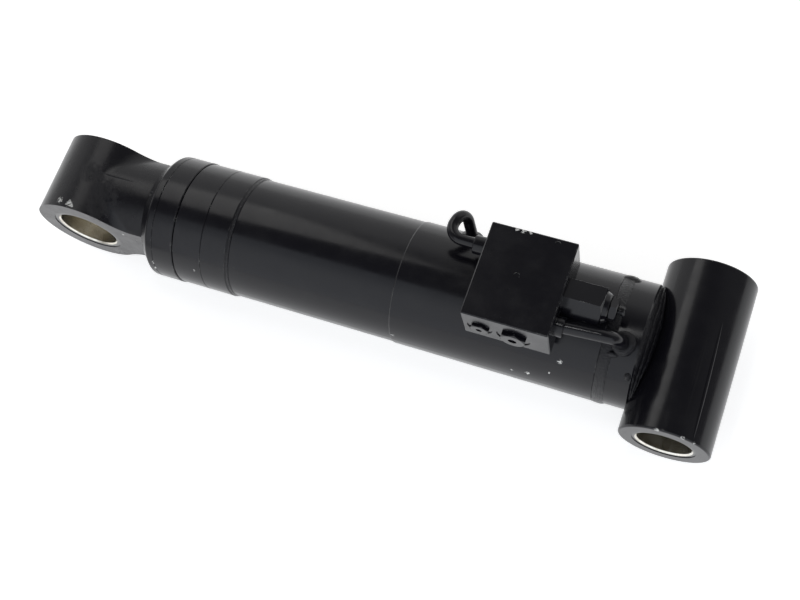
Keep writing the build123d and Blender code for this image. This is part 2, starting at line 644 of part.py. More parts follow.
def cartridge_body():
    centre = CARTRIDGE_YZ
    body = hex_x(CARTRIDGE_ACROSS_FLATS, CARTRIDGE_HEX_REAR_X, BLOCK_X[0], *centre, CARTRIDGE_TURN)
    rounding = Pos(0, *centre) * turned([
        (CARTRIDGE_HEX_REAR_X, 0), (CARTRIDGE_HEX_REAR_X, CARTRIDGE_REAR_R),
        (CARTRIDGE_HEX_REAR_X + 1.6, CARTRIDGE_CORNER_R), (BLOCK_X[0], CARTRIDGE_CORNER_R),
        (BLOCK_X[0], 0),
    ])
    body &= rounding
    body += Pos(0, *centre) * turned([
        (CARTRIDGE_SHOULDER_X, 0), (CARTRIDGE_SHOULDER_X, CARTRIDGE_SHOULDER_R - 1),
        (CARTRIDGE_SHOULDER_X + 1, CARTRIDGE_SHOULDER_R),
        (CARTRIDGE_HEX_REAR_X, CARTRIDGE_SHOULDER_R + 1), (CARTRIDGE_HEX_REAR_X, 0),
    ])
    body += rod_x(CARTRIDGE_R, BLOCK_X[0], CARTRIDGE_NOSE_X, *centre)
    for x in CARTRIDGE_O_RING_X:
        sides = (x - CARTRIDGE_GROOVE_WIDTH / 2, x + CARTRIDGE_GROOVE_WIDTH / 2)
        body -= Pos(0, *centre) * ring(*sides, CARTRIDGE_R, CARTRIDGE_R - 2 * CARTRIDGE_O_RING_R)
    body -= rod_x(ADJUSTER_THREAD_R, CARTRIDGE_SHOULDER_X, ADJUSTER_BORE_X[0], *centre)
    return body - rod_x(ADJUSTER_BORE_R, *ADJUSTER_BORE_X, *centre)


def cartridge_o_rings():
    centre_r = CARTRIDGE_R - CARTRIDGE_O_RING_R
    rings = [o_ring(x, centre_r, CARTRIDGE_O_RING_R) for x in CARTRIDGE_O_RING_X]
    return Compound([Pos(0, *CARTRIDGE_YZ) * one for one in rings])


def cartridge_lock_nut():
    body = hex_x(
        LOCK_NUT_ACROSS_FLATS, LOCK_NUT_REAR_X, CARTRIDGE_SHOULDER_X, *CARTRIDGE_YZ, LOCK_NUT_TURN)
    return body - rod_x(ADJUSTER_THREAD_R, LOCK_NUT_REAR_X, CARTRIDGE_SHOULDER_X, *CARTRIDGE_YZ)


def adjuster_screw():
    body = rod_x(ADJUSTER_R, ADJUSTER_REAR_X, ADJUSTER_FLANGE_X, *CARTRIDGE_YZ)
    body = chamfer(body.edges().sort_by(Axis.X)[0], 0.7)
    body += rod_x(ADJUSTER_FLANGE_R, ADJUSTER_FLANGE_X, ADJUSTER_FRONT_X, *CARTRIDGE_YZ)
    sides = (ADJUSTER_FLANGE_X + ADJUSTER_GROOVE_WALL, ADJUSTER_FRONT_X - ADJUSTER_GROOVE_WALL)
    body -= Pos(0, *CARTRIDGE_YZ) * ring(*sides, ADJUSTER_FLANGE_R, ADJUSTER_GROOVE_R)
    return body - hex_x(ADJUSTER_SOCKET_ACROSS_FLATS, ADJUSTER_REAR_X,
                        ADJUSTER_REAR_X + ADJUSTER_SOCKET_DEPTH, *CARTRIDGE_YZ)


def adjuster_o_ring():
    middle = (ADJUSTER_FLANGE_X + ADJUSTER_FRONT_X) / 2
    centre_r = ADJUSTER_GROOVE_R + ADJUSTER_O_RING_R + 0.3
    return Pos(0, *CARTRIDGE_YZ) * o_ring(middle, centre_r, ADJUSTER_O_RING_R)


# ---- pipes --------------------------------------------------------------------------------

def base_side_pipe():
    body = pipe(BASE_PIPE_POINTS, BASE_PIPE_BENDS, BASE_PIPE_R, PIPE_WALL)
    return body - rod_x(BARREL_R, CAP_REAR_X, BLOCK_X[0]) - block(BLOCK_X, BLOCK_Y, BLOCK_Z)


def base_pipe_collar():
    end = BLOCK_X[0] - BASE_COLLAR_LENGTH
    body = rod_x(BASE_COLLAR_R, end, BLOCK_X[0], *BASE_PIPE_POINTS[0][1:])
    body = fillet(body.edges().sort_by(Axis.X)[0], 1.2)
    return body - pipe_core(BASE_PIPE_POINTS, BASE_PIPE_BENDS, BASE_PIPE_R)


def base_pipe_boss():
    body = rod_z(BASE_PIPE_BOSS_R, BASE_PIPE_BOSS_Z - 14, BASE_PIPE_BOSS_Z, *BASE_PIPE_BOSS_XY)
    body = fillet(body.edges().sort_by(Axis.Z)[-1], 2.0)
    body -= rod_x(BARREL_R, CAP_REAR_X, CAP_FRONT_X)
    body -= rod_x(BARREL_STEP_R + BASE_WELD_PROUD, BASE_WELD_X[0], BASE_WELD_X[1])
    return body - pipe_core(BASE_PIPE_POINTS, BASE_PIPE_BENDS, BASE_PIPE_R)


def rod_side_pipe():
    body = pipe(ROD_PIPE_POINTS, ROD_PIPE_BENDS, ROD_PIPE_R, PIPE_WALL)
    return body - rod_x(BARREL_STEP_R, BLOCK_X[1], BARREL_STEP_X) - block(BLOCK_X, BLOCK_Y, BLOCK_Z)


def rod_pipe_collar():
    end = BLOCK_X[1] + ROD_COLLAR_LENGTH
    body = rod_x(ROD_COLLAR_R, BLOCK_X[1], end, *ROD_PIPE_POINTS[0][1:])
    body = fillet(body.edges().sort_by(Axis.X)[-1], 1.0)
    return body - pipe_core(ROD_PIPE_POINTS, ROD_PIPE_BENDS, ROD_PIPE_R)


def rod_pipe_boss():
    x, y, z = ROD_PIPE_POINTS[-1]
    outward = Vector(0, y, z).normalized()
    seat = Plane(origin=Vector(x, 0, 0) + outward * (BARREL_R - 4), z_dir=outward)
    body = extrude(seat * Circle(ROD_PIPE_BOSS_R), ROD_PIPE_BOSS_TOP_R - BARREL_R + 4)
    body -= rod_x(BARREL_STEP_R, BLOCK_X[1], BARREL_STEP_X)
    return body - pipe_core(ROD_PIPE_POINTS, ROD_PIPE_BENDS, ROD_PIPE_R)


# ---- output -------------------------------------------------------------------------------

PARTS = {
    "cross_tube": cross_tube,
    "base_bush_left": lambda: base_bush(1),
    "base_bush_right": lambda: base_bush(-1),
    "base_cap": base_cap,
    "cap_o_ring": cap_o_ring,
    "saddle_weld": saddle_weld,
    "base_weld": base_weld_groove,
    "outer_barrel": outer_barrel,
    "inner_barrel": inner_barrel,
    "barrel_head": barrel_head,
    "barrel_wear_ring": barrel_wear_ring,
    "barrel_gland_nut": barrel_gland_nut,
    "gland_o_ring": gland_o_ring,
    "barrel_seal": barrel_seal,
    "barrel_wiper": barrel_wiper,
    "stage_tube": stage_tube,
    "stage_piston": stage_piston,
    "stage_piston_ring": stage_piston_ring,
    "stage_piston_seal": stage_piston_seal,
    "stage_head": stage_head,
    "stage_gland_nut": stage_gland_nut,
    "stage_wear_ring": stage_wear_ring,
    "stage_seal": stage_seal,
    "stage_wiper": stage_wiper,
    "piston_rod": piston_rod,
    "rod_piston": rod_piston,
    "rod_piston_ring": rod_piston_ring,
    "rod_piston_seal": rod_piston_seal,
    "rod_piston_nut": rod_piston_nut,
    "rod_eye": rod_eye,
    "rod_eye_bush": rod_eye_bush,
    "valve_block": valve_block,
    "block_welds": block_welds,
    "drilling_plugs": drilling_plugs,
    "main_port_plug": lambda: port_plug(MAIN_PORT),
    "pilot_port_plug": lambda: port_plug(PILOT_PORT),
    "port_o_rings": port_o_rings,
    "cartridge_body": cartridge_body,
    "cartridge_o_rings": cartridge_o_rings,
    "cartridge_lock_nut": cartridge_lock_nut,
    "adjuster_screw": adjuster_screw,
    "adjuster_o_ring": adjuster_o_ring,
    "base_side_pipe": base_side_pipe,
    "base_pipe_collar": base_pipe_collar,
    "base_pipe_boss": base_pipe_boss,
    "rod_side_pipe": rod_side_pipe,
    "rod_pipe_collar": rod_pipe_collar,
    "rod_pipe_boss": rod_pipe_boss,
}

os.makedirs("parts", exist_ok=True)
for name, make in PARTS.items():
    export_step(make(), os.path.join("parts", name + ".step"))
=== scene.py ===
"""Looks of a closed telescopic hydraulic cylinder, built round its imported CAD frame.

Everything is in metres in the row frame: origin at the centre of the base pin's bore, +X along
the cylinder to the rod eye, +Y along the pins on the ports' side, +Z up through the valve block.
"""

import math

import bpy
import numpy as np
from mathutils import Matrix, Vector


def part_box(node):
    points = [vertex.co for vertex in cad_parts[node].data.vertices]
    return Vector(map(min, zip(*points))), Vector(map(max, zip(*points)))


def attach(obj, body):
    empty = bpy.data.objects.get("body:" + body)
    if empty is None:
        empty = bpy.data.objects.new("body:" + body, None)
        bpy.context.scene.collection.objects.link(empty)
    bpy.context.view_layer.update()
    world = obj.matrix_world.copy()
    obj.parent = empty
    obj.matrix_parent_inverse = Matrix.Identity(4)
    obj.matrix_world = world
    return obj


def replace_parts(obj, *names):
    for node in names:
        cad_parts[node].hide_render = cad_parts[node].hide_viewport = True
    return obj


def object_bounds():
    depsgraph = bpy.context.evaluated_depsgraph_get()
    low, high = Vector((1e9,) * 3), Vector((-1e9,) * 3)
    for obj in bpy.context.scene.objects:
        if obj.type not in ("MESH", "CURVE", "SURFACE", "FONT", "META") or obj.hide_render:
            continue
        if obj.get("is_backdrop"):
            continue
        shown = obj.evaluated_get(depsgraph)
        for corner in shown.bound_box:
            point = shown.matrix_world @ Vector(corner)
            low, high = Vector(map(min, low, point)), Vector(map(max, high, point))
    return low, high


MM = 0.001
X_AXIS = Vector((1, 0, 0))
Y_AXIS = Vector((0, 1, 0))
Z_AXIS = Vector((0, 0, 1))

# ---- camera, lights and floor --------------------------------------------------------------

CAMERA_PLACE = (-0.02967, 0.30407, 0.87302)
CAMERA_TURN_DEG = (21.917, 8.754, -159.925)
CAMERA_LENS = 56.086
FLOOR_Z = -0.0505
FLOOR_HALF = 4.0
FLOOR_GLOW = 0.68
ZENITH_LEVEL = 0.11
# Name, one corner, the two edges from it, radiance and colour.
SOFT_BOXES = [
    ("far_soft_box", (0.42, -0.31, 1.0), (0.45, 0.285, 0), (0.43, -0.68, 0), 1.35, (1.0, 0.99, 0.97)),
    ("near_soft_box", (0.95, 0.42, 1.05), (-2.45, 0, 0), (0, 0.78, -1.05), 0.75, (0.86, 0.92, 1.0)),
    ("overhead_strip", (0.175, -0.11, 1.1), (0.03, 0, 0), (0, 0.20, 0), 25.0, (1, 1, 1)),
]
OBJECT_MIDDLE = Vector((0.25, 0.0, 0.0))

# ---- sizes that the CAD has ----------------------------------------------------------------------

BARREL_REAR_R = 48.1 * MM
CROSS_TUBE_R = 33.5 * MM
BASE_BORE_R = 20.0 * MM
EYE_BORE_R = 24.0 * MM
EYE_X = 487.0 * MM
CARTRIDGE_Y = 2.0 * MM
CARTRIDGE_Z = 64.5 * MM


# ---- material nodes ---------------------------------------------------------------------------

class Shader:
    """A material whose nodes are added by short calls. Places are in metres in the row frame."""

    def __init__(self, name):
        self.material = bpy.data.materials.new(name)
        self.material.use_nodes = True
        self.tree = self.material.node_tree
        self.surface = self.tree.nodes["Principled BSDF"]
        self.place = self.add("ShaderNodeTexCoord").outputs["Object"]

    def add(self, kind, **settings):
        node = self.tree.nodes.new(kind)
        for key, value in settings.items():
            setattr(node, key, value)
        return node

    def feed(self, socket, value):
        if isinstance(value, bpy.types.NodeSocket):
            self.tree.links.new(value, socket)
        else:
            socket.default_value = value

    def set(self, name, value):
        self.feed(self.surface.inputs[name], value)

    def maths(self, operation, a, b=0.0, clamp=False):
        node = self.add("ShaderNodeMath", operation=operation, use_clamp=clamp)
        self.feed(node.inputs[0], a)
        self.feed(node.inputs[1], b)
        return node.outputs[0]

    def noise(self, scale, detail=2.0, roughness=0.5, place=None):
        node = self.add("ShaderNodeTexNoise")
        self.feed(node.inputs["Vector"], place or self.place)
        node.inputs["Scale"].default_value = scale
        node.inputs["Detail"].default_value = detail
        node.inputs["Roughness"].default_value = roughness
        return node.outputs["Fac"]

    def spread(self, value, low, high, to_low=0.0, to_high=1.0):
        """A smooth step from to_low below low to to_high above high."""
        node = self.add("ShaderNodeMapRange", interpolation_type="SMOOTHSTEP")
        for socket, number in zip(node.inputs, (value, low, high, to_low, to_high)):
            self.feed(socket, number)
        return node.outputs[0]

    def mix(self, share, a, b):
        node = self.add("ShaderNodeMix", data_type="RGBA")
        self.feed(node.inputs["Factor"], share)
        self.feed(node.inputs["A"], a if not isinstance(a, tuple) else (*a, 1.0))
        self.feed(node.inputs["B"], b if not isinstance(b, tuple) else (*b, 1.0))
        return node.outputs["Result"]

    def axes(self):
        """The place's x, y and z."""
        node = self.add("ShaderNodeSeparateXYZ")
        self.feed(node.inputs[0], self.place)
        return node.outputs

    def stretched(self, scale):
        """The place with each axis scaled, for grain that runs one way."""
        node = self.add("ShaderNodeMapping")
        self.feed(node.inputs["Vector"], self.place)
        node.inputs["Scale"].default_value = scale
        return node.outputs[0]

    def distance(self, centre):
        """How far the place is from a point."""
        gap = self.add("ShaderNodeVectorMath", operation="DISTANCE")
        self.feed(gap.inputs[0], self.place)
        gap.inputs[1].default_value = centre
        return gap.outputs["Value"]

    def near(self, centre, radius, ragged):
        """1 within about radius of a point, with a ragged edge, and 0 outside it."""
        reach = self.maths("MULTIPLY", self.spread(ragged, 0.30, 0.70), 1.3 * radius)
        return self.maths("LESS_THAN", self.distance(centre), reach)

    def largest(self, masks):
        total = masks[0]
        for mask in masks[1:]:
            total = self.maths("MAXIMUM", total, mask)
        return total

    def edges(self, radius):
        """How far the surface bends within radius: 0 on a flat, up to about 0.3 on a square edge."""
        soft = self.add("ShaderNodeBevel", samples=6)
        soft.inputs["Radius"].default_value = radius
        turn = self.add("ShaderNodeVectorMath", operation="DOT_PRODUCT")
        self.feed(turn.inputs[0], soft.outputs[0])
        self.feed(turn.inputs[1], self.add("ShaderNodeNewGeometry").outputs["Normal"])
        return self.maths("SUBTRACT", 1.0, turn.outputs["Value"], clamp=True)

    def bump(self, height, metres, under=None):
        """Relief whose height runs from 0 to the given number of metres."""
        node = self.add("ShaderNodeBump")
        node.inputs["Distance"].default_value = metres
        self.feed(node.inputs["Height"], height)
        if under is not None:
            self.feed(node.inputs["Normal"], under)
        return node.outputs[0]


PAINT_BLACK = (0.0050, 0.0048, 0.0072)
PAINT_DUSTY = (0.0110, 0.0110, 0.0125)
PRIMER = (0.60, 0.60, 0.58)
CHIP_DEPTH = -4e-5


def paint(name, rough=0.15, peel=1.5e-6, wave=2.5e-5, chips=(), edge_wear=0.0, relief=None):
    """Black enamel: a soft wave, fine orange peel, dust, and chips down to pale primer."""
    shader = Shader(name)
    ragged = shader.noise(900, detail=3, roughness=0.7)
    dust = shader.spread(shader.noise(26, detail=6, roughness=0.65), 0.45, 0.75)
    colour = shader.mix(shader.maths("MULTIPLY", dust, 0.5), PAINT_BLACK, PAINT_DUSTY)
    gloss = shader.spread(shader.noise(60, detail=5, roughness=0.6), 0.3, 0.75, rough, rough + 0.10)
    specks = shader.spread(shader.noise(1500, detail=1), 0.77, 0.80)
    masks = [shader.maths("MULTIPLY", specks, shader.maths("MULTIPLY", dust, 0.25))]
    masks += [shader.near(place, radius, ragged) for place, radius in chips]
    if edge_wear:
        bend = shader.spread(shader.edges(0.5 * MM), 0.02, 0.12)
        patchy = shader.spread(shader.noise(130, detail=4, roughness=0.7), 0.50, 0.66)
        masks.append(shader.maths("MULTIPLY", shader.maths("MULTIPLY", bend, patchy), edge_wear))
    bare = shader.largest(masks)
    shader.set("Base Color", shader.mix(bare, colour, PRIMER))
    shader.set("Roughness", shader.maths("MAXIMUM", gloss, shader.maths("MULTIPLY", bare, 0.5)))
    normal = shader.bump(shader.noise(34, detail=1), wave)
    normal = shader.bump(shader.noise(420, detail=2), peel, normal)
    if relief:
        normal = relief(shader, normal)
    normal = shader.bump(bare, CHIP_DEPTH, normal)
    shader.set("Normal", normal)
    shader.surface.inputs["Specular IOR Level"].default_value = 0.33
    return shader.material


def forged_relief(shader, under):
    """The skin of a forging under paint: pitted where the dies left it, smoother elsewhere."""
    patch = shader.largest([
        shader.spread(shader.distance(place), 1.5 * radius, 0.2 * radius)
        for place, radius in FORGED_PATCHES])
    patchy = shader.spread(shader.noise(240, detail=4, roughness=0.7), 0.35, 0.6)
    patch = shader.maths("MULTIPLY", patch, patchy)
    pits = shader.maths("SUBTRACT", shader.noise(1300, detail=5, roughness=0.75), 0.5)
    coarse = shader.noise(110, detail=3, roughness=0.6)
    under = shader.bump(coarse, 1.6e-4, under)
    under = shader.bump(shader.noise(900, detail=3, roughness=0.7), 3e-5, under)
    return shader.bump(shader.maths("MULTIPLY", pits, patch), 1.8e-3, under)

# Each place in metres with how far it reaches.
FORGED_PATCHES = [
    ((0.4823, -0.0018, 0.0417), 0.007),
    ((0.4688, 0.0071, 0.0378), 0.009),
    ((0.4643, 0.0140, 0.0360), 0.010),
    ((0.4663, 0.0231, 0.0365), 0.009),
    ((0.4700, 0.0150, -0.0380), 0.016),
    ((0.4800, -0.0100, -0.0400), 0.012),
]
EYE_CHIPS = [
    ((0.4970, 0.0275, 0.0408), 0.0026),
    ((0.4878, 0.0283, 0.0420), 0.0030),
    ((0.4850, 0.0300, 0.0416), 0.0016),
    ((0.4480, 0.0325, 0.0150), 0.0012),
]
GLAND_CHIPS = [
    ((0.4115, 0.0451, 0.0197), 0.0020),
    ((0.4128, 0.0472, 0.0138), 0.0024),
    ((0.4139, 0.0488, 0.0065), 0.0016),
]
HEAD_CHIPS = [
    ((0.3773, 0.0458, 0.0180), 0.0012),
    ((0.3577, 0.0475, -0.0078), 0.0009),
]
BLOCK_CHIPS = [
    ((0.1336, -0.0296, 0.0830), 0.0014),
    ((0.1290, -0.0296, 0.0830), 0.0018),
    ((0.1243, -0.0296, 0.0830), 0.0012),
]
BARREL_CHIPS = [
    ((0.0837, 0.0379, 0.0296), 0.0020),
    ((0.0900, 0.0440, 0.0180), 0.0012),
    ((0.1180, 0.0470, 0.0090), 0.0012),
    ((0.1060, 0.0465, 0.0110), 0.0018),
    ((0.2120, 0.0470, 0.0080), 0.0013),
]
TUBE_CHIPS = [
    ((0.0060, 0.0663, 0.0320), 0.0016),
    ((-0.0120, 0.0663, 0.0306), 0.0016),
    ((-0.0200, 0.0663, 0.0262), 0.0010),
]


def weld_relief(shader, under):
    """Spatter and small ripples on a weld under paint."""
    return shader.bump(shader.noise(650, detail=4, roughness=0.7), 8e-4, under)


def block_relief(shader, under):
    """Faint milling marks on a sawn and milled block under paint."""
    lines = shader.noise(1.0, detail=1, place=shader.stretched((90, 1400, 90)))
    return shader.bump(lines, 6e-6, under)


def bush_steel():
    """A turned steel bush: fine rings, oil stains and a dulled surface."""
    shader = Shader("bush_steel")
    x, y, z = shader.axes()
    from_eye = shader.maths("GREATER_THAN", x, OBJECT_MIDDLE.x)
    across = shader.maths("SUBTRACT", x, shader.maths("MULTIPLY", from_eye, EYE_X))
    radius = shader.maths("SQRT", shader.maths("ADD", shader.maths("POWER", across, 2.0),
                                               shader.maths("POWER", z, 2.0)))
    bore_r = shader.maths("ADD", shader.maths("MULTIPLY", from_eye, EYE_BORE_R - BASE_BORE_R), BASE_BORE_R)
    painted = shader.spread(shader.maths("SUBTRACT", radius, bore_r), 0.9 * MM, 1.5 * MM)
    along = shader.add("ShaderNodeCombineXYZ")
    shader.feed(along.inputs[0], shader.maths("ADD", radius, y))
    rings = shader.noise(2600, detail=2, place=along.outputs[0])
    stain = shader.spread(shader.noise(70, detail=5, roughness=0.65), 0.42, 0.68)
    steel = shader.mix(stain, (0.82, 0.80, 0.74), (0.52, 0.48, 0.40))
    shader.set("Base Color", shader.mix(painted, steel, (0.030, 0.029, 0.028)))
    shader.set("Roughness", shader.spread(rings, 0.3, 0.7, 0.16, 0.26))
    shader.set("Normal", shader.bump(rings, 1.2e-5, shader.bump(shader.noise(60), 2e-5)))
    shader.set("Metallic", shader.maths("SUBTRACT", 1.0, painted))
    return shader.material


def turned_steel():
    """Bright turned steel with rings round the cylinder's own axis."""
    shader = Shader("machined_steel")
    place = shader.stretched((1, 0, 0))
    rings = shader.noise(2200, detail=2, place=place)
    film = shader.noise(40, detail=5, roughness=0.6)
    shader.set("Base Color", shader.mix(film, (0.50, 0.50, 0.50), (0.38, 0.37, 0.35)))
    shader.set("Roughness", shader.spread(rings, 0.3, 0.7, 0.22, 0.36))
    shader.set("Normal", shader.bump(rings, 5e-6))
    shader.surface.inputs["Metallic"].default_value = 1.0
    return shader.material


def hard_chrome():
    """Ground and polished chrome with a thin oil film and hairline marks along the stroke."""
    shader = Shader("hard_chrome")
    film = shader.noise(30, detail=6, roughness=0.6)
    hairs = shader.noise(1.0, detail=2, place=shader.stretched((40, 2600, 2600)))
    shader.set("Base Color", shader.mix(film, (0.74, 0.75, 0.77), (0.66, 0.67, 0.69)))
    shader.set("Roughness", shader.spread(film, 0.3, 0.7, 0.06, 0.13))
    shader.set("Normal", shader.bump(hairs, 6e-7))
    shader.surface.inputs["Metallic"].default_value = 1.0
    return shader.material


def soft_part(name, colour, darker, rough, grain, depth):
    """Rubber and plastic rings: a fine moulded grain and uneven gloss."""
    shader = Shader(name)
    cloud = shader.noise(90, detail=4)
    shader.set("Base Color", shader.mix(cloud, colour, darker))
    shader.set("Roughness", shader.spread(cloud, 0.3, 0.7, rough, rough + 0.15))
    shader.set("Normal", shader.bump(shader.noise(grain, detail=3), depth))
    return shader.material


def make_materials():
    return {
        "tube": paint("black_paint_tube", chips=TUBE_CHIPS, edge_wear=0.5),
        "barrel": paint("black_paint_barrel", chips=BARREL_CHIPS, edge_wear=0.3),
        "heads": paint("black_paint_heads", chips=HEAD_CHIPS, edge_wear=0.7),
        "gland": paint("black_paint_gland", chips=GLAND_CHIPS, edge_wear=0.7),
        "block": paint("black_paint_block", rough=0.17, chips=BLOCK_CHIPS, edge_wear=0.6,
                       relief=block_relief),
        "fitting": paint("black_paint_fittings", rough=0.13, wave=1.5e-5, edge_wear=0.35),
        "pipe": paint("black_paint_pipes", rough=0.12, wave=3e-5),
        "forged": paint("black_paint_forging", rough=0.20, chips=EYE_CHIPS, relief=forged_relief),
        "weld": paint("black_paint_weld", rough=0.12, relief=weld_relief),
        "bush": bush_steel(),
        "turned": turned_steel(),
        "chrome": hard_chrome(),
        "rubber": soft_part("seal_rubber", (0.018, 0.018, 0.018), (0.010, 0.010, 0.010), 0.45, 900, 1e-5),
        "urethane": soft_part("seal_polyurethane", (0.045, 0.19, 0.34), (0.03, 0.13, 0.25), 0.30, 500, 5e-6),
        "wear_ring": soft_part("wear_ring_plastic", (0.32, 0.17, 0.07), (0.22, 0.11, 0.05), 0.50, 1200, 2e-5),
    }


NODE_MATERIALS = {
    "tube": ["cross_tube"],
    "barrel": ["base_cap", "outer_barrel"],
    "heads": ["barrel_head", "barrel_gland_nut", "stage_head"],
    "gland": ["stage_gland_nut"],
    "block": ["valve_block", "drilling_plugs"],
    "fitting": ["main_port_plug", "pilot_port_plug", "cartridge_body", "base_pipe_collar", "rod_pipe_collar"],
    "pipe": ["base_side_pipe", "rod_side_pipe"],
    "forged": ["rod_eye"],
    "bush": ["base_bush_left", "base_bush_right", "rod_eye_bush"],
    "turned": ["inner_barrel", "stage_piston", "rod_piston", "rod_piston_nut"],
    "chrome": ["stage_tube", "piston_rod"],
    "rubber": ["port_o_rings", "cap_o_ring", "gland_o_ring", "cartridge_o_rings", "adjuster_o_ring",
               "barrel_wiper", "stage_wiper"],
    "urethane": ["barrel_seal", "stage_seal", "stage_piston_seal", "rod_piston_seal"],
    "wear_ring": ["barrel_wear_ring", "stage_wear_ring", "stage_piston_ring", "rod_piston_ring"],
}


# ---- mesh helpers -----------------------------------------------------------------------------

def mesh_object(name, points, faces, material, body, sharp_deg=40.0):
    mesh = bpy.data.meshes.new(name)
    mesh.from_pydata([tuple(p) for p in points], [], faces)
    mesh.validate()
    mesh.shade_smooth()
    mesh.set_sharp_from_angle(angle=math.radians(sharp_deg))
    mesh.materials.append(material)
    piece = bpy.data.objects.new(name, mesh)
    bpy.context.scene.collection.objects.link(piece)
    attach(piece, body)
    return piece


def tube_faces(rows, across, ring):
    """Faces of a closed tube of cross-sections. A ring's last section joins its first; a run is capped."""
    faces = []
    for row in range(rows if ring else rows - 1):
        below = (row + 1) % rows
        for i in range(across):
            j = (i + 1) % across
            faces.append((row * across + i, row * across + j, below * across + j, below * across + i))
    if not ring:
        faces.append(tuple(range(across))[::-1])
        faces.append(tuple(range((rows - 1) * across, rows * across)))
    return faces


def smooth_noise(seed, waves=5):
    """A repeatable smooth function of an angle or length, from a few sines with fixed random phases."""
    draws = np.random.default_rng(seed)
    rates = draws.uniform(0.6, 1.6, waves) * np.arange(1, waves + 1)
    phases = draws.uniform(0, 2 * math.pi, waves)
    return lambda t: float(np.sum(np.sin(rates * t + phases) / np.arange(1, waves + 1)) / 2)


def bead_height(run, across, pitch, seed_wave, ripple_share=0.14):
    """Height share of a weld bead at a run length and a place across it (-1 to 1), with ripples."""
    crown = max(0.0, 1 - abs(across) ** 2.4) ** 0.6
    ripple = 0.5 + 0.5 * math.sin(2 * math.pi * (run + 0.35 * pitch * across * across) / pitch)
    return crown * (1 - ripple_share + ripple_share * (ripple + 0.5 * seed_wave(run / pitch * 0.8)))


def cylinder_depth(start, direction, radius):
    """How far along direction a line from start meets the cylinder of that radius about the X axis."""
    flat = Vector((0, direction.y, direction.z))
    origin = Vector((0, start.y, start.z))
    a = flat.dot(flat)
    b = 2 * origin.dot(flat)
    c = origin.dot(origin) - radius * radius
    inside = max(0.0, b * b - 4 * a * c)
    return (-b - math.sqrt(inside)) / (2 * a)


# ---- welds ------------------------------------------------------------------------------------

# Where each side pipe's last bend lies and where its end enters the barrel, as the CAD has them.
BASE_PIPE_END = (Vector((49.0, 22.5, 66.0)) * MM, Vector((43.2, 16.7, 44.0)) * MM)
ROD_PIPE_END = (Vector((181.5, -47.5, 56.0)) * MM, Vector((173.4, -35.0, 32.0)) * MM)
PIPE_END_BACK = 14 * MM
# Name, x in mm, angle from +Z towards +Y in degrees, and length, width and height in mm.
WELD_LUMPS = [
    ("far_side_weld_end", 53.5, -52.0, (7.5, 4.5, 2.2)),
    ("weld_drip_1", 49.6, 31.7, (4.5, 2.6, 1.7)),
    ("weld_drip_2", 41.0, 22.0, (3.6, 2.6, 1.5)),
    ("weld_drip_3", 35.5, 48.0, (2.4, 3.2, 1.3)),
]

def ring_weld(name, rear, front, radii, crown, ripple, material):
    """A low bead all the way round the barrel. radii are its hidden root's and its foot's."""
    root, foot = radii
    middle, half = (rear + front) / 2, (front - rear) / 2
    turns, steps = 420, 18
    wave, drift = smooth_noise(3), smooth_noise(4)
    points = []
    for turn in range(turns):
        angle = 2 * math.pi * turn / turns
        around = Vector((0, math.sin(angle), math.cos(angle)))
        shift = 0.06 * half * drift(angle * 9)
        for step in range(steps + 1):
            across = 2 * step / steps - 1
            height = crown * bead_height(angle * foot, across, 2.6 * MM, wave, ripple)
            x = middle + across * (half + shift * across)
            points.append(X_AXIS * x + around * (foot + height))
        points.append(X_AXIS * (middle + 0.75 * half) + around * root)
        points.append(X_AXIS * (middle - 0.75 * half) + around * root)
    faces = tube_faces(turns, steps + 3, ring=True)
    return mesh_object(name, points, faces, material, "barrel")


def saddle_weld(side, material):
    """One weld that fills the corner between the cross tube and the cap, in three stringer beads."""
    sections, steps = 260, 34
    outer_x, outer_r = 32.4 * MM, 45.7 * MM
    reach = math.radians(77)
    wave, drift, lump = smooth_noise(11 + side), smooth_noise(21 + side), smooth_noise(31 + side)
    points = []
    for section in range(sections):
        angle = reach * (2 * section / (sections - 1) - 1)
        around = Vector((0, math.sin(angle), side * math.cos(angle)))
        run = angle * outer_r
        at_cap = X_AXIS * outer_x + around * (outer_r + 0.4 * MM * drift(angle * 7))
        tube_x = (23 + 9 * (abs(angle) / reach) ** 3) * MM
        tube_r = math.sqrt(CROSS_TUBE_R**2 - tube_x**2) / math.cos(angle)
        at_tube = X_AXIS * tube_x + around * min(outer_r - 0.3 * MM, tube_r)
        outward = (X_AXIS * -0.55 + around * 0.83).normalized()
        for step in range(steps + 1):
            share = step / steps
            bead = share * 3 % 1.0 if step < steps else 1.0
            across = 2 * bead - 1
            height = 1.1 * MM * bead_height(run + share * 3 * MM, across, 2.3 * MM, wave)
            height += 0.55 * MM * lump(run / (3 * MM) + share * 3)
            height += 0.8 * MM * math.sin(math.pi * share)
            points.append(at_tube.lerp(at_cap, share) + outward * (height - 0.4 * MM))
        points.append(at_cap.lerp(at_tube, 0.1) - outward * 4 * MM)
        points.append(at_tube.lerp(at_cap, 0.1) - outward * 4 * MM)
    faces = tube_faces(sections, steps + 3, ring=False)
    name = "saddle_weld_top" if side > 0 else "saddle_weld_bottom"
    return mesh_object(name, points, faces, material, "barrel")


